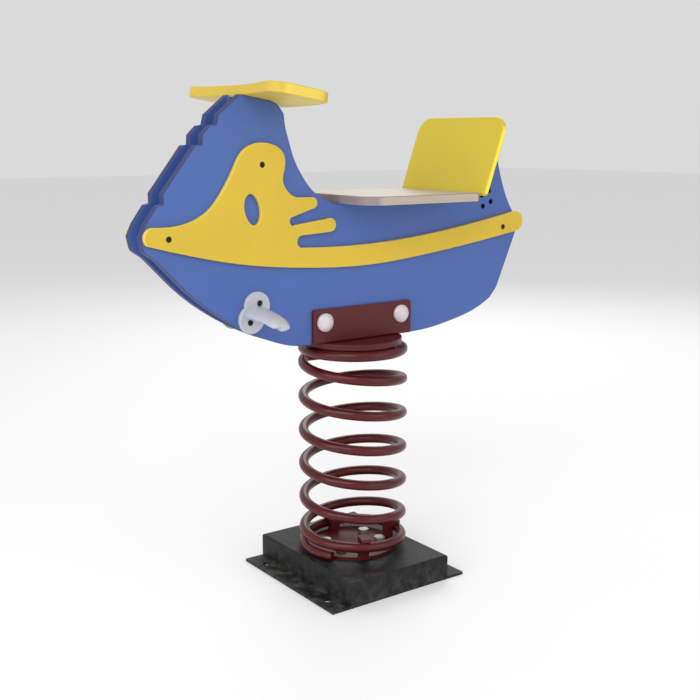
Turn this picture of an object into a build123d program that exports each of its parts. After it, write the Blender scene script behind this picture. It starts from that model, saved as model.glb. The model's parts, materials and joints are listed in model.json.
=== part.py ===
"""A single-spring rocker shaped as a small watercraft.

Frame: origin on the ground under the spring's axis, +Z up, bow along -Y, the rider's left (port) along +X.
All sizes are in millimetres.
"""
from build123d import *
import math
import os

# Base pan, a folded and welded steel box with a fixing flange at bow and stern
base_width = 292.0
base_length = 220.0
base_height = 47.0
base_wall = 5.0
base_bend = 4.0
flange_length = 38.0
anchor_hole_r = 7.0
anchor_edge = 45.0

# Coil spring, left-handed round wire with closed ends
wire_dia = 18.0
coil_outer_dia = 200.0
coil_height = 389.4
coil_turns = 7.226
coil_start_deg = 300.0
foot_turns = 0.70
foot_pitch = 19.5
foot_ramp = 0.80
head_turns = 0.55
head_pitch = 4.0
head_ramp = 0.25
coil_gap = 0.3
coil_steps = 16

# Spring retainers, a disc inside each end coil with three hooks over the wire
disc_thick = 6.0
disc_gap = 2.0
hook_width = 18.0
hook_thick = 6.0
hook_post = 14.0
hook_gap = 0.5
hook_reach = 3.0
foot_hooks = (0.35, 0.62, 0.89)
head_hooks = (0.12, 0.60, 0.80)
foot_bolt_x = 25.0
foot_bolt_y = 44.0
head_bolt_y = 48.0
seat_disc_inset = 2.0
seat_disc_thick = 10.0

# Hull, two panels with a gap between them
panel_thick = 15.0
panel_gap = 26.0
trim_thick = 7.0
plate_round = 1.5
edge_round = 2.5

# Saddle bracket, a steel U that carries the hull
saddle_plate = 5.0
saddle_length = 216.0
saddle_ear_height = 61.0
saddle_bend = 3.0
ear_round = 5.0
ear_bolt_edge = 24.0
ear_bolt_drop = 23.0
saddle_clear = 1.0
keel_margin = 4.0

# Domed caps over the saddle's bolts
cap_dia = 32.0
cap_skirt = 4.0
cap_dome = 8.0
cap_clear = 0.8
cap_head_clear = 0.5

# Boards
board_thick = 15.0
seat_width = 230.0
seat_front_y = -48.0
seat_back_y = 200.0
seat_height = 241.5
seat_round = 40.0
seat_back_round = 8.0
back_width = 238.0
back_thick = 10.0
back_length = 147.0
back_lean = 20.0
back_gap = 4.0
back_rise = -3.5
back_round = 30.0
back_foot_round = 6.0
back_bracket_rise = 60.0
grip_width = 297.0
grip_depth = 110.0
grip_thick = 16.0
grip_sweep = 21.0
grip_round = 30.0
grip_tilt = 8.9
grip_y = -184.0
grip_height = 411.8
grip_bracket_y = -218.0

# Saddle and clamp bolts, with hexagon heads and nuts
ear_bolt_dia = 12.0
ear_bolt_flats = 18.0
ear_head_height = 6.0
clamp_bolt_dia = 12.0
clamp_bolt_flats = 18.0
clamp_head_height = 7.5
clamp_nut_height = 9.6
clamp_bolt_past = 4.0
hole_clear = 0.3
spacer_wall = 4.0

# Hull bolts and their cap nuts, sunk flush in the trim
hull_bolt_dia = 6.0
hull_head_dia = 9.6
hull_head_depth = 5.0
hull_head_sink = 0.5
hull_nut_wall = 1.5
hull_socket_flats = 4.0
hull_socket_depth = 1.2

# Channels, screws and cross pins that hold the boards between the panels
bracket_length = 44.0
bracket_height = 30.0
bracket_wall = 3.0
board_screw_dia = 5.0
board_screw_depth = 7.0
board_screw_head_dia = 9.0
board_screw_head_height = 3.0
pilot_past = 0.5
pin_dia = 8.0
pin_depth = 9.0
pin_drop = 18.0

# Footrests, a two-lobed flange and a drooping peg
rest_flange_thick = 6.0
rest_lobe_r = 24.0
rest_lobe_lean = 5.5
rest_lobe_rise = 11.0
rest_flange_round = 2.0
rest_tip_round = 3.0
rest_screw_y = 9.25
rest_screw_rise = 15.5
foot_screw_dia = 6.0
foot_head_dia = 10.2
foot_head_height = 2.0
foot_head_seat = 3.0
foot_nut_flats = 10.0
foot_nut_height = 5.0
foot_screw_past = 2.0
foot_socket_flats = 3.5
foot_socket_depth = 1.4

# Vent holes in the stern wing
vent_dia = 10.0

# Oval window in the trim plate
window_length = 52.0
window_width = 30.0
window_place = (-226.0, 238.0)
window_lean = 12.0

# Places derived from the sizes above
coil_radius = (coil_outer_dia - wire_dia) / 2
wire_r = wire_dia / 2
coil_low = base_height + coil_gap + wire_r
coil_high = coil_low + coil_height - wire_dia
head_disc_z = coil_high + wire_r + coil_gap
keel_z = head_disc_z + seat_disc_thick
inner_x = panel_gap / 2
outer_x = inner_x + panel_thick
trim_x = outer_x + trim_thick
saddle_x = outer_x + saddle_plate
seat_disc_r = coil_radius - seat_disc_inset
ear_bolt_y = saddle_length / 2 - ear_bolt_edge
ear_bolt_height = saddle_ear_height - ear_bolt_drop
cap_bore_r = ear_bolt_flats / 2 / math.cos(math.radians(30)) + cap_clear
cap_bore_depth = ear_head_height + cap_head_clear
hull_head_r = hull_head_dia / 2
clamp_hole_r = clamp_bolt_dia / 2 + hole_clear
through = 400.0

# Side profile points are (y, height over the keel)
hull_bolt_places = ((-378.0, 198.0), (-207.0, 310.0), (334.5, 184.0))
vent_places = ((298.0, 274.0), (302.0, 254.0), (307.0, 233.0), (287.0, 225.0), (283.0, 246.0))
footrest_place = (-224.5, 68.0)
wing_top = 352.0
stern_notch = (366.0, 213.0)


def out_z(height):
    """Height above the ground of a point given over the keel."""
    return keel_z + height


def side_plane(x):
    """Sketch plane at x, with sketch axes along y and z, raised to the keel."""
    return Plane(origin=(x, 0, keel_z), x_dir=(0, 1, 0), z_dir=(1, 0, 0))


def slab(face, x_from, thickness):
    """A side profile made solid from x_from towards +X."""
    return extrude(side_plane(x_from) * face, amount=thickness)


def x_rod(y, z, x_from, x_to, radius):
    """A round bar along X."""
    length = x_to - x_from
    centre = Plane(origin=((x_from + x_to) / 2, y, z), z_dir=(1, 0, 0))
    return centre * Cylinder(radius, length)


def x_tube(y, z, x_from, x_to, outer_r, inner_r):
    """A round tube along X."""
    return x_rod(y, z, x_from, x_to, outer_r) - x_rod(y, z, x_from - 1, x_to + 1, inner_r)


def hexagon(across_flats, thickness):
    """A hexagonal prism standing on z = 0."""
    return extrude(RegularPolygon(across_flats / 2, 6, major_radius=False), amount=thickness)


def mirrored(part):
    return mirror(part, about=Plane.YZ)


def pitch_height(turns, flat_turns, flat_pitch, ramp, open_pitch):
    """Climb of the wire over the first turns of one end."""
    if turns <= flat_turns:
        return flat_pitch * turns
    climb = flat_pitch * flat_turns
    over = min(turns - flat_turns, ramp)
    climb += flat_pitch * over + (open_pitch - flat_pitch) * over * over / (2 * ramp)
    return climb + open_pitch * max(turns - flat_turns - ramp, 0)


def open_pitch():
    """Pitch of the middle turns, which makes up the coil's height."""
    climb = coil_high - coil_low
    climb -= foot_pitch * (foot_turns + foot_ramp / 2)
    climb -= head_pitch * (head_turns + head_ramp / 2)
    middle = coil_turns - foot_turns - head_turns - foot_ramp / 2 - head_ramp / 2
    return climb / middle


def wire_z(turns):
    """Height of the wire's centre, counted in turns from its lower end."""
    pitch = open_pitch()
    half = coil_turns / 2
    if turns < half:
        return coil_low + pitch_height(turns, foot_turns, foot_pitch, foot_ramp, pitch)
    left = coil_turns - turns
    return coil_high - pitch_height(left, head_turns, head_pitch, head_ramp, pitch)


def wire_angle(turns):
    """Angle in degrees of the wire about the axis; the coil is left-handed."""
    return coil_start_deg - 360 * turns


def wire_point(turns):
    angle = math.radians(wire_angle(turns))
    return Vector(coil_radius * math.cos(angle), coil_radius * math.sin(angle), wire_z(turns))


def coil_spring():
    steps = round(coil_turns * coil_steps)
    points = [wire_point(coil_turns * i / steps) for i in range(steps + 1)]
    path = Spline(*points)
    section = Plane(origin=path @ 0, z_dir=path % 0) * Circle(wire_r)
    return sweep(section, path=path, is_frenet=True)


def base_pan():
    box = Pos(0, 0, base_height / 2) * Box(base_width, base_length, base_height)
    box = fillet(box.edges().group_by(Axis.Z)[-1], base_bend)
    hollow = Pos(0, 0, (base_height - base_wall) / 2) * Box(
        base_width - 2 * base_wall, base_length - 2 * base_wall, base_height - base_wall
    )
    pan = box - hollow
    for side in (-1, 1):
        y = side * (base_length / 2 + flange_length / 2 - base_wall / 2)
        flange = Pos(0, y, base_wall / 2) * Box(base_width, flange_length + base_wall, base_wall)
        pan += flange
    for x, y in anchor_places():
        pan -= Pos(x, y, base_wall / 2) * Cylinder(anchor_hole_r, 2 * base_wall)
    for x, y in foot_bolt_places():
        pan -= Pos(x, y, base_height) * Cylinder(clamp_hole_r, 4 * base_wall)
    return pan


def anchor_places():
    x = base_width / 2 - anchor_edge
    y = base_length / 2 + flange_length / 2
    return [(sx * x, sy * y) for sx in (-1, 1) for sy in (-1, 1)]


def foot_bolt_places():
    return [(sx * foot_bolt_x, sy * foot_bolt_y) for sx in (-1, 1) for sy in (-1, 1)]


def head_bolt_places():
    return [(0, -head_bolt_y), (0, 0), (0, head_bolt_y)]


def retainer(face_z, up, turn_list, from_head, bolt_places):
    """A disc on face_z inside the end coil, with hooks over its wire.

    up is 1 at the foot of the coil and -1 at its head.
    """
    inside_r = coil_radius - wire_r - disc_gap
    part = Pos(0, 0, face_z + up * disc_thick / 2) * Cylinder(inside_r, disc_thick)
    for share in turn_list:
        turns = coil_turns - share if from_head else share
        spread = hook_width / (2 * coil_radius * 2 * math.pi)
        heights = [wire_z(turns - spread), wire_z(turns + spread)]
        top = max(heights) if up > 0 else min(heights)
        nose_z = top + up * (wire_r + hook_gap)
        nose_end = nose_z + up * hook_thick
        post = Pos(inside_r - hook_post / 2, 0, (face_z + nose_end) / 2) * Box(
            hook_post, hook_width, abs(nose_end - face_z)
        )
        reach = coil_radius + hook_reach
        nose_from = inside_r - hook_post
        nose = Pos((nose_from + reach) / 2, 0, (nose_z + nose_end) / 2) * Box(
            reach - nose_from, hook_width, hook_thick
        )
        post = post & (Pos(0, 0, face_z) * Cylinder(inside_r, through))
        part += Rot(0, 0, wire_angle(turns)) * (post + nose)
    for x, y in bolt_places:
        part -= Pos(x, y, face_z) * Cylinder(clamp_hole_r, 6 * disc_thick)
    return part


def clamp_bolts(places, head_z, up, length):
    """Hexagon bolts with their head on head_z and their shank away from up."""
    bolts = []
    for x, y in places:
        head = hexagon(clamp_bolt_flats, clamp_head_height)
        if up < 0:
            head = mirror(head, about=Plane.XY)
        shank = Pos(0, 0, -up * length / 2) * Cylinder(clamp_bolt_dia / 2, length)
        bolts.append(Pos(x, y, head_z) * (head + shank))
    return Compound(children=bolts)


def clamp_nuts(places, face_z, up):
    """Hexagon nuts that bear on face_z and stand away from it along up."""
    nuts = []
    for x, y in places:
        nut = hexagon(clamp_bolt_flats, clamp_nut_height)
        nut -= Cylinder(clamp_bolt_dia / 2, 4 * clamp_nut_height)
        low = face_z if up > 0 else face_z - clamp_nut_height
        nuts.append(Pos(x, y, low) * nut)
    return Compound(children=nuts)


def upper_spring_seat():
    seat = Pos(0, 0, head_disc_z + seat_disc_thick / 2) * Cylinder(seat_disc_r, seat_disc_thick)
    for x, y in head_bolt_places():
        seat -= Pos(x, y, keel_z) * Cylinder(clamp_hole_r, 4 * seat_disc_thick)
    return seat


def saddle_bracket():
    ear_z = keel_z + saddle_ear_height / 2
    outer = Pos(0, 0, ear_z) * Box(2 * saddle_x, saddle_length, saddle_ear_height)
    inner = Pos(0, 0, ear_z + saddle_plate) * Box(2 * outer_x, 2 * saddle_length, saddle_ear_height)
    part = outer - inner
    corners = part.edges().filter_by(Axis.X).group_by(Axis.Z)[-1]
    part = fillet(corners, ear_round)
    bend = part.edges().filter_by(Axis.Y).group_by(Axis.Z)[0]
    part = fillet(bend, saddle_bend)
    for y in (-ear_bolt_y, ear_bolt_y):
        z = keel_z + ear_bolt_height
        part -= x_rod(y, z, -saddle_x - 1, saddle_x + 1, ear_bolt_dia / 2 + hole_clear)
    for x, y in head_bolt_places():
        part -= Pos(x, y, keel_z) * Cylinder(clamp_hole_r, 4 * saddle_plate)
    return part


def hull_outline():
    """Side profile of one hull panel."""
    keel_end = saddle_length / 2 + keel_margin
    seat_top = seat_height
    wing_foot = wing_line(seat_top)
    grip_front = grip_line(-242.0)
    grip_back = grip_line(-196.0)
    fore_belly = Spline((-399, 166), (-345, 111), (-286, 65), (-238, 37), (-172, 9), (-keel_end, 0),
                        tangents=((0.72, -0.69), (1, 0)))
    keel = Line((-keel_end, 0), (keel_end, 0))
    aft_belly = Spline((keel_end, 0), (160, 3), (217, 13), (271, 27.5), (311, 47),
                       tangents=((1, 0), (0.86, 0.51)))
    stern = Polyline((311, 47), (328, 66), (374, 169), (380, 191), stern_notch)
    wing_back = Spline(stern_notch, (350, 238), (334, 276), (323, 311), (317, 340))
    wing_tip = Polyline((317, 340), (305, wing_top), (wing_line(wing_top), wing_top), (wing_foot, seat_top))
    seat_run = Line((wing_foot, seat_top), (seat_front_y, seat_top))
    tower_back = Spline((seat_front_y, seat_top), (-74, 248), (-101, 263), (-125, 291), (-142, 322),
                        (-153, 356), (-160, 392), tangents=((-1, 0), (-0.1, 1)))
    tower_top = Polyline((-160, 392), (-172, 407), (-196, grip_back), (-242, grip_front), (-281, 389.5))
    steps = Polyline((-281, 389.5), (-285, 373.5), (-296, 372), (-311, 357.5), (-312, 342), (-324, 341),
                     (-382, 267), (-381.5, 252), (-392.5, 249), (-413, 221), (-422.5, 201.5), (-417.5, 178.5),
                     (-399, 166))
    edges = [fore_belly, keel, aft_belly, stern, wing_back, wing_tip, seat_run, tower_back, tower_top, steps]
    face = make_face([edge for piece in edges for edge in piece.edges()])
    soft = {(311, 47): 12, (328, 66): 25, (374, 169): 8, (380, 191): 8, (305, wing_top): 10,
            (317, 340): 10, (-172, 407): 12, (-196, grip_back): 12, (-422.5, 201.5): 8, (-417.5, 178.5): 14,
            (-285, 373.5): 2, (-296, 372): 3, (-312, 342): 2, (-324, 341): 3, (-381.5, 252): 2,
            (-392.5, 249): 3}
    return soften(face, soft)


def soften(face, radii):
    """Round the named corners of a profile."""
    for (y, z), radius in radii.items():
        corner = face.vertices().sort_by_distance((y, z, 0))[0]
        face = fillet(corner, radius)
    return face


def wing_line(height):
    """Where the wing's front edge is, at a height over the keel, so that the backrest lies on it."""
    lean = math.radians(back_lean)
    foot_y = seat_back_y + back_gap + back_thick * math.cos(lean)
    foot_h = seat_height + board_thick + back_rise - back_thick * math.sin(lean)
    return foot_y + (height - foot_h) * math.tan(lean)


def grip_line(y):
    """Height over the keel of the handle board's underside."""
    return grip_height - math.tan(math.radians(grip_tilt)) * (y - grip_y)


def hull_panel():
    """The port panel, with the holes that both panels have."""
    part = slab(hull_outline(), inner_x, panel_thick)
    part = fillet(part.faces().sort_by(Axis.X)[-1].edges(), plate_round)
    recess = Pos(0, 0, keel_z) * Box(4 * outer_x, saddle_length + 2 * saddle_clear, 2 * saddle_plate)
    part -= recess
    for y, height in hull_bolt_places:
        part -= x_rod(y, out_z(height), 0, trim_x, hull_bolt_dia / 2 + hole_clear)
    for y in (-ear_bolt_y, ear_bolt_y):
        part -= x_rod(y, keel_z + ear_bolt_height, 0, trim_x, ear_bolt_dia / 2 + hole_clear)
    for y, height in vent_places:
        part -= x_rod(y, out_z(height), 0, trim_x, vent_dia / 2)
    for y, height in foot_screw_places():
        part -= x_rod(y, out_z(height), 0, trim_x, foot_screw_dia / 2 + hole_clear)
    for y, z in pin_places():
        part -= x_rod(y, z, 0, inner_x + pin_depth, pin_dia / 2)
    return part


def trim_outline():
    lower = Spline((-414, 189), (-327, 166.5), (-247, 150), (-133, 137), (-4, 132), (124, 141), (261, 158),
                   (369, 174))
    stern_end = ThreePointArc((369, 174), (387.5, 196), stern_notch)
    strip = Spline(stern_notch, (278, 198), (157, 181), (27, 170), (-93, 169), (-127, 170.5))
    slot_low = ThreePointArc((-127, 170.5), (-140, 181), (-130, 191.5))
    finger_low = Line((-130, 191.5), (-73, 194.5))
    finger_tip = ThreePointArc((-73, 194.5), (-60.5, 206.5), (-78, 217))
    finger_top = Line((-78, 217), (-143, 209.5))
    slot_high = ThreePointArc((-143, 209.5), (-155, 216), (-148, 223.5))
    upper_low = Line((-148, 223.5), (-108, 235.5))
    upper_tip = ThreePointArc((-108, 235.5), (-99, 245.5), (-109, 254.5))
    upper_top = Line((-109, 254.5), (-132, 255))
    neck = Spline((-132, 255), (-155, 263), (-167, 284), (-162.5, 308), (-167, 330), (-189, 343), (-226, 342),
                  (-246, 328), (-261, 302), (-280, 271), (-304, 242), (-336, 224), (-369, 217), (-401, 217))
    bow_tip = ThreePointArc((-401, 217), (-419, 203), (-414, 189))
    edges = [lower, stern_end, strip, slot_low, finger_low, finger_tip, finger_top, slot_high, upper_low,
             upper_tip, upper_top, neck, bow_tip]
    return make_face(edges)


def window_outline():
    """Plain oval opening in the trim plate."""
    y, height = window_place
    return Pos(y, height) * Rot(0, 0, window_lean) * Ellipse(window_width / 2, window_length / 2)


def trim_plate():
    part = slab(trim_outline() - window_outline(), outer_x, trim_thick)
    part = fillet(part.faces().sort_by(Axis.X)[-1].edges(), plate_round)
    for y, height in hull_bolt_places:
        part -= x_rod(y, out_z(height), 0, 2 * trim_x, hull_bolt_dia / 2 + hole_clear)
        part -= x_rod(y, out_z(height), trim_x - hull_head_depth, 2 * trim_x, hull_head_r + hole_clear)
    return part


def hull_bolts():
    """Through bolts from port, with flush socket heads."""
    bolts = []
    head_x = trim_x - hull_head_sink
    head_low = trim_x - hull_head_depth
    for y, height in hull_bolt_places:
        z = out_z(height)
        bolt = x_rod(y, z, head_low, head_x, hull_head_r)
        bolt += x_rod(y, z, hull_nut_bore_x(), head_low + hull_nut_wall, hull_bolt_dia / 2)
        socket = hexagon(hull_socket_flats, hull_socket_depth)
        bolts.append(bolt - Plane(origin=(head_x, y, z), z_dir=(-1, 0, 0)) * socket)
    return Compound(children=bolts)


def hull_nut_bore_x():
    """Blind end of the bore in the hull nuts, where the bolts' shanks stop."""
    return -trim_x + hull_head_sink + hull_nut_wall


def hull_nuts():
    """Cap nuts on the starboard side, with the same flush heads."""
    nuts = []
    head_x = -trim_x + hull_head_sink
    for y, height in hull_bolt_places:
        z = out_z(height)
        nut = x_rod(y, z, head_x, -trim_x + hull_head_depth, hull_head_r)
        nut -= x_rod(y, z, hull_nut_bore_x(), 0, hull_bolt_dia / 2)
        socket = hexagon(hull_socket_flats, hull_socket_depth)
        nuts.append(nut - Plane(origin=(head_x, y, z), z_dir=(1, 0, 0)) * socket)
    return Compound(children=nuts)


def spacers(places, bolt_dia):
    """Tubes that hold the panels apart around their bolts."""
    bore = bolt_dia / 2 + hole_clear
    return Compound(children=[x_tube(y, z, -inner_x, inner_x, bore + spacer_wall, bore) for y, z in places])


def ear_places():
    return [(y, keel_z + ear_bolt_height) for y in (-ear_bolt_y, ear_bolt_y)]


def bracket_bolts():
    """Bolts through the ears and both panels; the head is on the port side."""
    bolts = []
    for y, z in ear_places():
        head = Plane(origin=(saddle_x, y, z), z_dir=(1, 0, 0)) * hexagon(ear_bolt_flats, ear_head_height)
        shank = x_rod(y, z, -saddle_x - ear_head_height, saddle_x, ear_bolt_dia / 2)
        bolts.append(head + shank)
    return Compound(children=bolts)


def bracket_nuts():
    nuts = []
    for y, z in ear_places():
        nut = Plane(origin=(-saddle_x, y, z), z_dir=(-1, 0, 0)) * hexagon(ear_bolt_flats, ear_head_height)
        nuts.append(nut - x_rod(y, z, -saddle_x - 2 * ear_head_height, 0, ear_bolt_dia / 2))
    return Compound(children=nuts)


def bolt_caps():
    """Domed covers over the port bolt heads."""
    caps = []
    for y, z in ear_places():
        radius = cap_dia / 2
        ball_r = (radius * radius + cap_dome * cap_dome) / (2 * cap_dome)
        plane = Plane(origin=(saddle_x, y, z), z_dir=(1, 0, 0))
        top = cap_skirt + cap_dome
        dome = plane * Pos(0, 0, top - ball_r) * Sphere(ball_r)
        dome &= plane * Pos(0, 0, cap_skirt + cap_dome / 2) * Cylinder(radius + 1, cap_dome)
        dome += plane * Pos(0, 0, cap_skirt / 2) * Cylinder(radius, cap_skirt)
        dome -= plane * Cylinder(cap_bore_r, 2 * cap_bore_depth)
        caps.append(dome)
    return Compound(children=caps)


def seat_board():
    length = seat_back_y - seat_front_y
    z = out_z(seat_height)
    outline = Pos(0, (seat_back_y + seat_front_y) / 2) * Rectangle(seat_width, length)
    front = outline.vertices().group_by(Axis.Y)[0]
    outline = fillet(front, seat_round)
    back = outline.vertices().group_by(Axis.Y)[-1]
    outline = fillet(back, seat_back_round)
    board = Pos(0, 0, z) * extrude(outline, amount=board_thick)
    board = fillet(board.faces().sort_by(Axis.Z)[-1].edges(), edge_round)
    for x, y in board_screw_places():
        board -= Pos(x, y + seat_bracket_y(), z) * pilot_hole()
    return board


def pilot_hole():
    """Blind hole for a board screw, to be cut from the face at z = 0."""
    return Cylinder(board_screw_dia / 2, 2 * (board_screw_depth + pilot_past))


def board_screw_places():
    return [(0, -bracket_length / 4), (0, bracket_length / 4)]


def seat_bracket_y():
    return (seat_front_y + seat_back_y) / 2


def seat_frame():
    """Plane under the seat board: z into the board, x across."""
    return Plane(origin=(0, seat_bracket_y(), out_z(seat_height)), x_dir=(1, 0, 0), z_dir=(0, 0, 1))


def back_frame():
    """Plane on the backrest's rear face: z into the board, x across, y up the board."""
    lean = math.radians(back_lean)
    height = seat_height + back_bracket_rise
    normal = (0, -math.cos(lean), math.sin(lean))
    return Plane(origin=(0, wing_line(height), out_z(height)), x_dir=(1, 0, 0), z_dir=normal)


def grip_frame():
    """Plane under the handle board: z into the board, x across."""
    tilt = math.radians(grip_tilt)
    origin = (0, grip_bracket_y, out_z(grip_line(grip_bracket_y)))
    return Plane(origin=origin, x_dir=(1, 0, 0), z_dir=(0, math.sin(tilt), math.cos(tilt)))


def board_frames():
    return [seat_frame(), back_frame(), grip_frame()]


def board_bracket(frame):
    """Channel between the panels, with its web on the board and its legs on the panels."""
    body = Pos(0, 0, -bracket_height / 2) * Box(panel_gap, bracket_length, bracket_height)
    hollow = Pos(0, 0, -bracket_height / 2 - bracket_wall) * Box(
        panel_gap - 2 * bracket_wall, 2 * bracket_length, bracket_height
    )
    part = body - hollow
    for x, y in board_screw_places():
        part -= Pos(x, y, 0) * Cylinder(board_screw_dia / 2 + hole_clear, 4 * bracket_wall)
    for y in (-bracket_length / 4, bracket_length / 4):
        pin = Plane(origin=(0, y, -pin_drop), z_dir=(1, 0, 0))
        part -= pin * Cylinder(pin_dia / 2, 2 * panel_gap)
    return frame * part


def board_screws(frame):
    """Screws through the channel's web into the board."""
    screws = []
    for x, y in board_screw_places():
        head_z = -bracket_wall - board_screw_head_height / 2
        head = Pos(x, y, head_z) * Cylinder(board_screw_head_dia / 2, board_screw_head_height)
        shank_length = board_screw_depth + bracket_wall
        shank_z = (board_screw_depth - bracket_wall) / 2
        shank = Pos(x, y, shank_z) * Cylinder(board_screw_dia / 2, shank_length)
        screws.append(frame * (head + shank))
    return Compound(children=screws)


def pin_places():
    """Centres (y, z) of the cross pins that hold the channels."""
    places = []
    for frame in board_frames():
        for y in (-bracket_length / 4, bracket_length / 4):
            point = frame.from_local_coords(Vector(0, y, -pin_drop))
            places.append((point.Y, point.Z))
    return places


def bracket_pins():
    reach = inner_x + pin_depth
    return Compound(children=[x_rod(y, z, -reach, reach, pin_dia / 2) for y, z in pin_places()])


def backrest_board():
    frame = back_frame()
    foot_y = seat_back_y + back_gap
    lean = math.radians(back_lean)
    centre_up = back_length / 2
    foot = Vector(0, foot_y, out_z(seat_height + board_thick + back_rise))
    up = Vector(0, math.sin(lean), math.cos(lean))
    normal = Vector(0, -math.cos(lean), math.sin(lean))
    centre = foot + up * centre_up - normal * back_thick
    face_plane = Plane(origin=centre, x_dir=(1, 0, 0), z_dir=normal)
    outline = Rectangle(back_width, back_length)
    outline = fillet(outline.vertices().group_by(Axis.Y)[0], back_foot_round)
    outline = fillet(outline.vertices().group_by(Axis.Y)[-1], back_round)
    board = extrude(face_plane * outline, amount=back_thick)
    board = fillet(board.faces().sort_by(Axis.Y)[0].edges(), edge_round)
    for x, y in board_screw_places():
        board -= frame * (Pos(x, y, 0) * pilot_hole())
    return board


def handle_board():
    frame = grip_frame()
    half = grip_width / 2
    front_y = grip_y - grip_depth / 2
    back_y = grip_y + grip_depth / 2
    origin_y = frame.origin.Y
    squash = 1 / math.cos(math.radians(grip_tilt))
    front = (front_y - origin_y) * squash
    back = (back_y - origin_y) * squash
    tip_front = front - grip_sweep
    tip_back = back - grip_sweep
    front_edge = ThreePointArc((-half, tip_front), (0, front), (half, tip_front))
    back_edge = ThreePointArc((-half, tip_back), (0, back), (half, tip_back))
    sides = [Line((-half, tip_front), (-half, tip_back)), Line((half, tip_front), (half, tip_back))]
    outline = make_face([front_edge, back_edge, *sides])
    outline = fillet(outline.vertices(), grip_round)
    board = extrude(outline, amount=grip_thick)
    board = fillet(board.faces().sort_by(Axis.Z)[-1].edges(), edge_round)
    for x, y in board_screw_places():
        board -= Pos(x, y, 0) * pilot_hole()
    return frame * board


def foot_screw_places():
    y, height = footrest_place
    return [(y + side * rest_screw_y, height + side * rest_screw_rise) for side in (-1, 1)]


def footrest():
    """Port footrest: a two-lobed flange and a drooping peg."""
    y, height = footrest_place
    upper = Pos(y + rest_lobe_lean, height + rest_lobe_rise) * Circle(rest_lobe_r)
    lower = Pos(y - rest_lobe_lean, height - rest_lobe_rise) * Circle(rest_lobe_r)
    part = slab(upper + lower, outer_x, rest_flange_thick)
    part = fillet(part.faces().sort_by(Axis.X)[-1].edges(), rest_flange_round)
    root_x = outer_x + rest_flange_thick - 1
    # Each section of the peg: reach, half width, half height, drop
    sections = [(0, 21, 12, 0), (30, 20, 10, -1), (60, 18.5, 9, -5)]
    sections += [(80, 15.5, 7.5, -10), (89, 11, 5.5, -13)]
    rings = []
    for reach, half_y, half_z, drop in sections:
        origin = (root_x + reach, y, out_z(height) + drop)
        rings.append(Plane(origin=origin, x_dir=(0, 1, 0), z_dir=(1, 0, 0)) * Ellipse(half_y, half_z))
    peg = loft(rings)
    part += fillet(peg.faces().sort_by(Axis.X)[-1].edges(), rest_tip_round)
    seat_x = outer_x + foot_head_seat
    for screw_y, screw_height in foot_screw_places():
        z = out_z(screw_height)
        part -= x_rod(screw_y, z, 0, seat_x + 1, foot_screw_dia / 2 + hole_clear)
        part -= x_rod(screw_y, z, seat_x, through, foot_head_dia / 2 + hole_clear)
    return part


def foot_screws():
    """Screws from both sides into nuts in the gap."""
    screws = []
    seat_x = outer_x + foot_head_seat
    head_x = seat_x + foot_head_height
    end_x = inner_x - foot_nut_height - foot_screw_past
    for y, height in foot_screw_places():
        z = out_z(height)
        screw = x_rod(y, z, seat_x, head_x, foot_head_dia / 2)
        screw += x_rod(y, z, end_x, seat_x + foot_head_height / 2, foot_screw_dia / 2)
        socket = hexagon(foot_socket_flats, foot_socket_depth)
        screw -= Plane(origin=(head_x, y, z), z_dir=(-1, 0, 0)) * socket
        screws += [screw, mirrored(screw)]
    return Compound(children=screws)


def foot_nuts():
    nuts = []
    for y, height in foot_screw_places():
        z = out_z(height)
        nut = Plane(origin=(inner_x, y, z), z_dir=(-1, 0, 0)) * hexagon(foot_nut_flats, foot_nut_height)
        nut -= x_rod(y, z, 0, outer_x, foot_screw_dia / 2)
        nuts += [nut, mirrored(nut)]
    return Compound(children=nuts)


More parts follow.
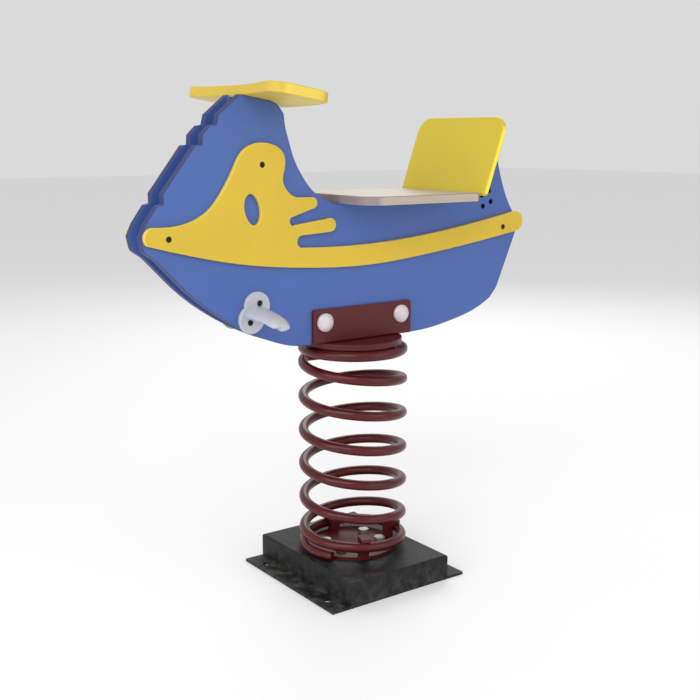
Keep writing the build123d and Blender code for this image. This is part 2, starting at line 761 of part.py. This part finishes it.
def build_nodes():
    web_top = keel_z + saddle_plate
    foot_disc_top = base_height + disc_thick
    head_disc_low = head_disc_z - disc_thick
    foot_bolt_length = disc_thick + base_wall + clamp_nut_height + clamp_bolt_past
    head_bolt_length = disc_thick + seat_disc_thick + saddle_plate + clamp_nut_height + clamp_bolt_past
    port_panel = hull_panel()
    port_trim = trim_plate()
    port_foot = footrest()
    caps = bolt_caps()
    hull_zs = [(y, out_z(height)) for y, height in hull_bolt_places]
    return {
        "base_pan": base_pan(),
        "lower_spring_retainer": retainer(base_height, 1, foot_hooks, False, foot_bolt_places()),
        "lower_retainer_bolts": clamp_bolts(foot_bolt_places(), foot_disc_top, 1, foot_bolt_length),
        "lower_retainer_nuts": clamp_nuts(foot_bolt_places(), base_height - base_wall, -1),
        "coil_spring": coil_spring(),
        "upper_spring_seat": upper_spring_seat(),
        "upper_spring_retainer": retainer(head_disc_z, -1, head_hooks, True, head_bolt_places()),
        "upper_retainer_bolts": clamp_bolts(head_bolt_places(), head_disc_low, -1, head_bolt_length),
        "upper_retainer_nuts": clamp_nuts(head_bolt_places(), web_top, 1),
        "saddle_bracket": saddle_bracket(),
        "bracket_spacers": spacers(ear_places(), ear_bolt_dia),
        "bracket_bolts": bracket_bolts(),
        "bracket_nuts": bracket_nuts(),
        "port_bolt_caps": caps,
        "starboard_bolt_caps": mirrored(caps),
        "port_hull_panel": port_panel,
        "starboard_hull_panel": mirrored(port_panel),
        "port_trim_plate": port_trim,
        "starboard_trim_plate": mirrored(port_trim),
        "hull_spacers": spacers(hull_zs, hull_bolt_dia),
        "hull_bolts": hull_bolts(),
        "hull_nuts": hull_nuts(),
        "seat_board": seat_board(),
        "seat_bracket": board_bracket(seat_frame()),
        "seat_screws": board_screws(seat_frame()),
        "backrest_board": backrest_board(),
        "backrest_bracket": board_bracket(back_frame()),
        "backrest_screws": board_screws(back_frame()),
        "handle_board": handle_board(),
        "handle_bracket": board_bracket(grip_frame()),
        "handle_screws": board_screws(grip_frame()),
        "bracket_pins": bracket_pins(),
        "port_footrest": port_foot,
        "starboard_footrest": mirrored(port_foot),
        "footrest_screws": foot_screws(),
        "footrest_nuts": foot_nuts(),
    }


os.makedirs("parts", exist_ok=True)
for name, shape in build_nodes().items():
    export_step(shape, f"parts/{name}.step")
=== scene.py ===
import json
import math

import bpy
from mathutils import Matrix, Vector


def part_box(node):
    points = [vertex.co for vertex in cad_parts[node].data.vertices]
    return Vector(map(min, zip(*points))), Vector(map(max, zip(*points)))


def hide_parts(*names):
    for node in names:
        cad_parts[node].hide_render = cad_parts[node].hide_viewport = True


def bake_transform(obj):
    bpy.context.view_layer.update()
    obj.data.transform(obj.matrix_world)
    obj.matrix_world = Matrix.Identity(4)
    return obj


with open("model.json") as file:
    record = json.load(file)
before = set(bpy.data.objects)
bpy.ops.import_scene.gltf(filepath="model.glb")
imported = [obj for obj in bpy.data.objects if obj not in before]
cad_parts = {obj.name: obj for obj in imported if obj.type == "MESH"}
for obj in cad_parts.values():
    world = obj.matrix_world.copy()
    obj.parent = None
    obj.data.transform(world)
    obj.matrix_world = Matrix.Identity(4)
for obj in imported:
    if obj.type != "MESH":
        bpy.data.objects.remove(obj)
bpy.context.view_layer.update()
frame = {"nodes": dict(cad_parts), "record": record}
print("frame loaded")


# Shader maths as plain expressions

class Wire:
    # one shader socket; sums and products on it add their Math nodes
    def __init__(self, paint, socket):
        self.paint = paint
        self.socket = socket

    def maths(self, operation, first, second=0.0):
        made = self.paint.node("ShaderNodeMath", {"operation": operation}, {0: first, 1: second})
        return made[0]

    def __add__(self, other):
        return self.maths("ADD", self, other)

    def __radd__(self, other):
        return self.maths("ADD", other, self)

    def __sub__(self, other):
        return self.maths("SUBTRACT", self, other)

    def __rsub__(self, other):
        return self.maths("SUBTRACT", other, self)

    def __mul__(self, other):
        return self.maths("MULTIPLY", self, other)

    def __rmul__(self, other):
        return self.maths("MULTIPLY", other, self)

    def size(self):
        return self.maths("ABSOLUTE", self)

    def ramp(self, low, high, fromLow=0.0, fromHigh=1.0):
        # clamped straight run from low..high onto fromLow..fromHigh
        values = {"Value": self, "From Min": low, "From Max": high, "To Min": fromLow, "To Max": fromHigh}
        return self.paint.node("ShaderNodeMapRange", {"clamp": True}, values)["Result"]


class Outputs:
    # a node's outputs by name or place, each as a Wire
    def __init__(self, paint, made):
        self.paint = paint
        self.made = made

    def __getitem__(self, which):
        return Wire(self.paint, self.made.outputs[which])


class Paint:
    def __init__(self, name):
        self.material = bpy.data.materials.new(name)
        self.material.use_nodes = True
        self.tree = self.material.node_tree
        self.tree.nodes.clear()
        self.place = self.node("ShaderNodeTexCoord")["Object"]
        self.normal = self.node("ShaderNodeTexCoord")["Normal"]

    def node(self, kind, settings=None, values=None):
        made = self.tree.nodes.new(kind)
        for key, value in (settings or {}).items():
            setattr(made, key, value)
        for key, value in (values or {}).items():
            if isinstance(value, Wire):
                self.tree.links.new(value.socket, made.inputs[key])
            else:
                made.inputs[key].default_value = value
        return Outputs(self, made)

    def noise(self, scale, detail=3.0, rough=0.55, stretch=(1, 1, 1)):
        # noise on object coordinates; scale is in waves per metre
        spot = self.node("ShaderNodeMapping", None, {"Vector": self.place, "Scale": stretch})["Vector"]
        values = {"Vector": spot, "Scale": scale, "Detail": detail, "Roughness": rough}
        return self.node("ShaderNodeTexNoise", None, values)["Fac"]

    def mix(self, factor, first, second):
        made = self.tree.nodes.new("ShaderNodeMix")
        made.data_type = "RGBA"
        for place, value in ((0, factor), (6, first), (7, second)):
            if isinstance(value, Wire):
                self.tree.links.new(value.socket, made.inputs[place])
            elif place:
                made.inputs[place].default_value = (*value, 1)
            else:
                made.inputs[place].default_value = value
        return Wire(self, made.outputs[2])

    def axis(self, vector, letter):
        return self.node("ShaderNodeSeparateXYZ", None, {0: vector})[letter]

    def bump(self, height, distance, strength=1.0):
        values = {"Height": height, "Distance": distance, "Strength": strength}
        return self.node("ShaderNodeBump", None, values)["Normal"]

    def finish(self, varying, fixed):
        shader = self.node("ShaderNodeBsdfPrincipled", None, {**fixed, **varying})["BSDF"]
        self.node("ShaderNodeOutputMaterial", None, {"Surface": shader})
        return self.material


def shade(colour, amount):
    return tuple(min(1.0, part * amount) for part in colour)


# Polyethylene sheet: pebbled faces, routed edges with cutter lines, faint scuffs; edge colour is painted
# shade on the hull and a painted highlight on the trim

sheet = {
    "edgeBelow": 0.86,
    "faceAbove": 0.985,
    "cloudScale": 6,
    "fineScale": 90,
    "scratchScale": 38,
    "scratchStretch": (0.4, 3.0, 0.9),
    "pebbleScale": 750,
    "pebbleHeight": 0.00010,
    "cutterScale": 420,
    "cutterStretch": (3.0, 0.25, 0.25),
    "darkTone": 0.93,
    "lightTone": 1.06,
    "scuffTone": 1.25,
    "rough": 0.40,
    "ior": 1.5,
}


def sheetPlastic(name, colour, edgeToneAndPaintedLight, scuff=0.35):
    # faces are told from edges along x and z only, so a board that faces along y is edge all over
    paint = Paint(name)
    sideways = paint.axis(paint.normal, 0).size()
    upward = paint.axis(paint.normal, 2).size()
    facing = paint.node("ShaderNodeMath", {"operation": "MAXIMUM"}, {0: sideways, 1: upward})[0]
    edge = 1 - facing.ramp(sheet["edgeBelow"], sheet["faceAbove"])
    cloudy = paint.noise(sheet["cloudScale"], 4)
    fine = paint.noise(sheet["fineScale"], 5, 0.65)
    scratch = paint.noise(sheet["scratchScale"], 4, 0.7, sheet["scratchStretch"])
    scuffed = scratch.ramp(0.60, 0.74) * fine.ramp(0.42, 0.62) * scuff
    dark = shade(colour, sheet["darkTone"])
    face = paint.mix(cloudy.ramp(0.3, 0.7), dark, shade(colour, sheet["lightTone"]))
    worn = paint.mix(scuffed, face, shade(colour, sheet["scuffTone"]))
    # edges take their own colour: painted shade (dark navy) on the hull, a painted highlight on the yellow
    # trim, a darker tone on the other boards
    final = paint.mix(edge, worn, edgeToneAndPaintedLight)
    grain = paint.noise(sheet["pebbleScale"], 2, 0.5) * (1 - edge)
    cutter = paint.noise(sheet["cutterScale"], 1, 0.4, sheet["cutterStretch"]) * edge
    rough = sheet["rough"] + cloudy * 0.10 + scuffed * 0.4 + edge * 0.10
    relief = paint.bump(grain + cutter, sheet["pebbleHeight"])
    return paint.finish({"Base Color": final, "Roughness": rough, "Normal": relief}, {"IOR": sheet["ior"]})


# Powder coat: orange peel, a little dust low down, chips to bare steel

coating = {
    "cloudScale": 9,
    "peelScale": 520,
    "speckScale": 260,
    "dustScale": 55,
    "chipsFrom": 0.735,
    "chipsFull": 0.76,
    "chipColour": (0.20, 0.17, 0.15),
    "dustColour": (0.24, 0.22, 0.19),
    "darkTone": 0.82,
    "lightTone": 1.16,
    "peelHeight": 0.00012,
    "coatRough": 0.12,
}


def powderCoat(name, colour, gloss=0.32, dustTop=0.0, coat=0.25, shine=0.32):
    paint = Paint(name)
    cloudy = paint.noise(coating["cloudScale"], 4)
    peel = paint.noise(coating["peelScale"], 2, 0.45)
    chips = paint.noise(coating["speckScale"], 3, 0.6).ramp(coating["chipsFrom"], coating["chipsFull"])
    dark = shade(colour, coating["darkTone"])
    tone = paint.mix(cloudy.ramp(0.3, 0.7), dark, shade(colour, coating["lightTone"]))
    final = paint.mix(chips * 0.5, tone, coating["chipColour"])
    dust = 0.0
    if dustTop:
        low = 1 - paint.axis(paint.place, 2).ramp(0.0, dustTop)
        upward = paint.axis(paint.normal, 2).ramp(0.5, 1.0)
        dust = (low * 0.22 + upward * 0.10) * paint.noise(coating["dustScale"], 5, 0.65).ramp(0.42, 0.70)
        final = paint.mix(dust, final, coating["dustColour"])
    rough = gloss + cloudy * 0.12 + chips * 0.2 + dust * 0.4
    relief = paint.bump(peel - chips * 0.6, coating["peelHeight"])
    fixed = {"Coat Weight": coat, "Coat Roughness": coating["coatRough"], "Specular IOR Level": shine}
    return paint.finish({"Base Color": final, "Roughness": rough, "Normal": relief}, fixed)


# Plated and blacked fasteners

plating = {
    "brushScale": 500,
    "brushStretch": (1.0, 1.0, 0.15),
    "bloomScale": 120,
    "darkTone": 0.80,
    "lightTone": 1.12,
    "brushHeight": 0.00004,
    "metal": 1.0,
}


def plated(name, colour, rough):
    paint = Paint(name)
    brushed = paint.noise(plating["brushScale"], 3, 0.6, plating["brushStretch"])
    bloom = paint.noise(plating["bloomScale"], 4, 0.6)
    dark = shade(colour, plating["darkTone"])
    final = paint.mix(bloom.ramp(0.35, 0.7), dark, shade(colour, plating["lightTone"]))
    relief = paint.bump(brushed, plating["brushHeight"])
    varying = {"Base Color": final, "Roughness": rough + brushed * 0.18 + bloom * 0.12, "Normal": relief}
    return paint.finish(varying, {"Metallic": plating["metal"]})


# Injection-moulded plastic: smooth, slightly waxy, fine flow marks

moulding = {
    "flowScale": 45,
    "flowStretch": (2.0, 0.6, 0.6),
    "fineScale": 900,
    "grimeScale": 160,
    "darkTone": 0.95,
    "lightTone": 1.04,
    "grimeTone": 0.62,
    "flowHeight": 0.00005,
    "ior": 1.49,
}


def moulded(name, colour, rough=0.28):
    paint = Paint(name)
    flow = paint.noise(moulding["flowScale"], 3, 0.5, moulding["flowStretch"])
    fine = paint.noise(moulding["fineScale"], 2, 0.5)
    grime = paint.noise(moulding["grimeScale"], 5, 0.7).ramp(0.56, 0.78)
    dark = shade(colour, moulding["darkTone"])
    tone = paint.mix(flow.ramp(0.3, 0.7), dark, shade(colour, moulding["lightTone"]))
    final = paint.mix(grime * 0.22, tone, shade(colour, moulding["grimeTone"]))
    relief = paint.bump(fine + flow, moulding["flowHeight"])
    varying = {"Base Color": final, "Roughness": rough + flow * 0.10 + grime * 0.15, "Normal": relief}
    return paint.finish(varying, {"IOR": moulding["ior"]})


# second colour is the edge colour: the hull's dark navy edge is painted shade, the trim's lighter edge is a
# painted highlight
hullBlue = sheetPlastic("hullBlue", (0.050, 0.112, 0.37), (0.022, 0.032, 0.13))
trimYellow = sheetPlastic("trimYellow", (0.64, 0.44, 0.020), (0.74, 0.56, 0.08))
backYellow = sheetPlastic("backYellow", (0.92, 0.77, 0.015), (0.60, 0.47, 0.03))
handleYellow = sheetPlastic("handleYellow", (0.76, 0.56, 0.065), (0.60, 0.43, 0.04))
seatGrey = sheetPlastic("seatGrey", (0.46, 0.38, 0.29), (0.26, 0.21, 0.23), scuff=0.7)
springRed = powderCoat("springRed", (0.080, 0.004, 0.005), 0.26, coat=0.10)
bracketRed = powderCoat("bracketRed", (0.090, 0.006, 0.007), 0.34, coat=0.05)
baseBlack = powderCoat("baseBlack", (0.009, 0.009, 0.010), 0.46, dustTop=0.06, coat=0.0, shine=0.22)
zincPlate = plated("zincPlate", (0.60, 0.60, 0.58), 0.30)
blackedSteel = plated("blackedSteel", (0.035, 0.035, 0.04), 0.34)
capWhite = moulded("capWhite", (0.62, 0.56, 0.60), 0.22)
footrestGrey = moulded("footrestGrey", (0.46, 0.48, 0.53))
print("materials made")

finishes = {
    "base_black": baseBlack, "bracket_red": bracketRed, "zinc": zincPlate, "hull_blue": hullBlue,
    "trim_yellow": trimYellow, "back_yellow": backYellow, "seat_grey": seatGrey, "cap_white": capWhite,
    "footrest_grey": footrestGrey, "dark_screw": blackedSteel, "spring_red": springRed,
}
for row in frame["record"]["subparts"]:
    mesh = frame["nodes"][row["node"]].data
    mesh.materials.clear()
    mesh.materials.append(finishes[row["material_slot"]])
frame["nodes"]["handle_board"].data.materials[0] = handleYellow
print("carried-over pieces painted")


# Coil spring: one wire, wound in two stretches split at a set height

spring = {
    "wireRadius": 0.009,
    "turns": 7.226,
    "startDeg": 300.0,
    "stepsPerTurn": 48,
    "sides": 20,
    "smoothDeg": 40,
    "splitHeight": 0.245,
    "splitSearch": 1000,
    "foot": {"turns": 0.70, "pitch": 0.0195, "ramp": 0.80},
    "head": {"turns": 0.55, "pitch": 0.0040, "ramp": 0.25},
    "clampClear": 0.010,
    "splitClear": 0.015,
}

coilLow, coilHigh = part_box("coil_spring")
wireBottom = coilLow.z + spring["wireRadius"]
wireTop = coilHigh.z - spring["wireRadius"]


def findOpenPitch():
    # what the closed turns at both ends leave for the open ones
    climb = wireTop - wireBottom
    middle = spring["turns"]
    for end in (spring["foot"], spring["head"]):
        climb -= end["pitch"] * (end["turns"] + end["ramp"] / 2)
        middle -= end["turns"] + end["ramp"] / 2
    return climb / middle


openPitch = findOpenPitch()


def endClimb(turns, end):
    if turns <= end["turns"]:
        return end["pitch"] * turns
    over = min(turns - end["turns"], end["ramp"])
    eased = (openPitch - end["pitch"]) * over * over / (2 * end["ramp"])
    climb = end["pitch"] * (end["turns"] + over) + eased
    return climb + openPitch * max(turns - end["turns"] - end["ramp"], 0)


def wireHeight(turns):
    if turns < spring["turns"] / 2:
        return wireBottom + endClimb(turns, spring["foot"])
    return wireTop - endClimb(spring["turns"] - turns, spring["head"])


def deselectAll():
    if bpy.context.object and bpy.context.object.mode != "OBJECT":
        bpy.ops.object.mode_set(mode="OBJECT")
    bpy.ops.object.select_all(action="DESELECT")


def windWire(name, firstTurn, lastTurn):
    coilRadius = (coilHigh.x - coilLow.x) / 2 - spring["wireRadius"]
    steps = round((lastTurn - firstTurn) * spring["stepsPerTurn"])
    turnStep = (lastTurn - firstTurn) / steps
    angle = math.radians(spring["startDeg"] - 360 * firstTurn)
    place = (coilRadius * math.cos(angle), coilRadius * math.sin(angle), wireHeight(firstTurn))
    deselectAll()
    bpy.ops.mesh.primitive_circle_add(vertices=spring["sides"], radius=spring["wireRadius"], fill_type="NGON",
                                      location=place, rotation=(math.pi / 2, 0, angle))
    wire = bpy.context.object
    wire.name = name
    bpy.ops.object.transform_apply(location=True, rotation=True, scale=True)
    bpy.ops.object.mode_set(mode="EDIT")
    bpy.ops.mesh.select_mode(type="FACE")
    bpy.ops.mesh.select_all(action="SELECT")
    turn = firstTurn
    for _ in range(steps):
        rise = wireHeight(turn + turnStep) - wireHeight(turn)
        bpy.ops.mesh.extrude_region_move(TRANSFORM_OT_translate={"value": (0, 0, rise)})
        bpy.ops.transform.rotate(value=2 * math.pi * turnStep, orient_axis="Z", center_override=(0, 0, 0))
        turn += turnStep
    bpy.ops.mesh.select_all(action="SELECT")
    bpy.ops.mesh.normals_make_consistent(inside=False)
    bpy.ops.object.mode_set(mode="OBJECT")
    bpy.ops.object.shade_smooth_by_angle(angle=math.radians(spring["smoothDeg"]))
    wire.data.materials.clear()
    wire.data.materials.append(springRed)
    return wire


def turnAtHeight(height):
    # the first small step up the wire that is past this height
    step = 1
    while wireHeight(step / spring["splitSearch"]) <= height:
        step += 1
    return step / spring["splitSearch"]


splitTurn = turnAtHeight(spring["splitHeight"])
lowerWire = windWire("coil_spring_lower_stretch", 0.0, splitTurn)
upperWire = windWire("coil_spring_upper_stretch", splitTurn, spring["turns"])
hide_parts("coil_spring")
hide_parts("coil_spring")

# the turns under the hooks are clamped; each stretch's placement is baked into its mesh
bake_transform(lowerWire)
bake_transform(upperWire)


# Floor, lights and camera

studio = {
    "floorSize": 40.0,
    "floorColour": (0.93, 0.93, 0.93),
    "floorMottle": 3,
    "floorRough": 0.8,
    "skyStrength": 0.70,
    "lights": {
        "key": {"place": (2.0, -2.2, 2.8), "target": (0, 0, 0.5), "power": 40.0, "size": 2.0},
        "fill": {"place": (2.6, 1.2, 1.4), "target": (0, 0, 0.5), "power": 14.0, "size": 2.0},
        "bowFill": {"place": (0.6, -3.0, 1.6), "target": (0, 0.2, 0.75), "power": 26.0, "size": 1.6},
        "rim": {"place": (-2.0, 2.0, 2.4), "target": (0, 0, 0.6), "power": 30.0, "size": 2.0},
    },
    "cameraPlace": (1.533, -1.1175, 0.7993),
    "cameraDown": 11.28,
    "cameraTurn": 54.06,
    "lens": 54.63,
    "sensorWidth": 36,
}


def areaLight(name, light):
    deselectAll()
    bpy.ops.object.light_add(type="AREA", location=light["place"])
    lamp = bpy.context.object
    lamp.name = name
    lamp.data.energy = light["power"]
    lamp.data.size = light["size"]
    aim = Vector(light["target"]) - Vector(light["place"])
    lamp.rotation_euler = aim.to_track_quat("-Z", "Y").to_euler()


deselectAll()
bpy.ops.mesh.primitive_plane_add(size=studio["floorSize"], location=(0, 0, 0))
floor = bpy.context.object
floor.name = "studio_floor"
paleFloor = Paint("paleFloor")
mottle = paleFloor.noise(studio["floorMottle"], 3)
floorTone = paleFloor.mix(mottle, shade(studio["floorColour"], 0.99), studio["floorColour"])
floor.data.materials.append(paleFloor.finish({"Base Color": floorTone}, {"Roughness": studio["floorRough"]}))

world = bpy.data.worlds.new("studio")
bpy.context.scene.world = world
world.use_nodes = True
world.node_tree.nodes["Background"].inputs["Color"].default_value = (1, 1, 1, 1)
world.node_tree.nodes["Background"].inputs["Strength"].default_value = studio["skyStrength"]

for lightName, light in studio["lights"].items():
    areaLight(lightName, light)

bpy.ops.object.camera_add(location=studio["cameraPlace"])
camera = bpy.context.object
camera.rotation_euler = (math.radians(90 - studio["cameraDown"]), 0, math.radians(studio["cameraTurn"]))
camera.data.lens = studio["lens"]
camera.data.sensor_width = studio["sensorWidth"]
bpy.context.scene.camera = camera
bpy.context.scene.view_settings.view_transform = "Standard"
print("studio set")
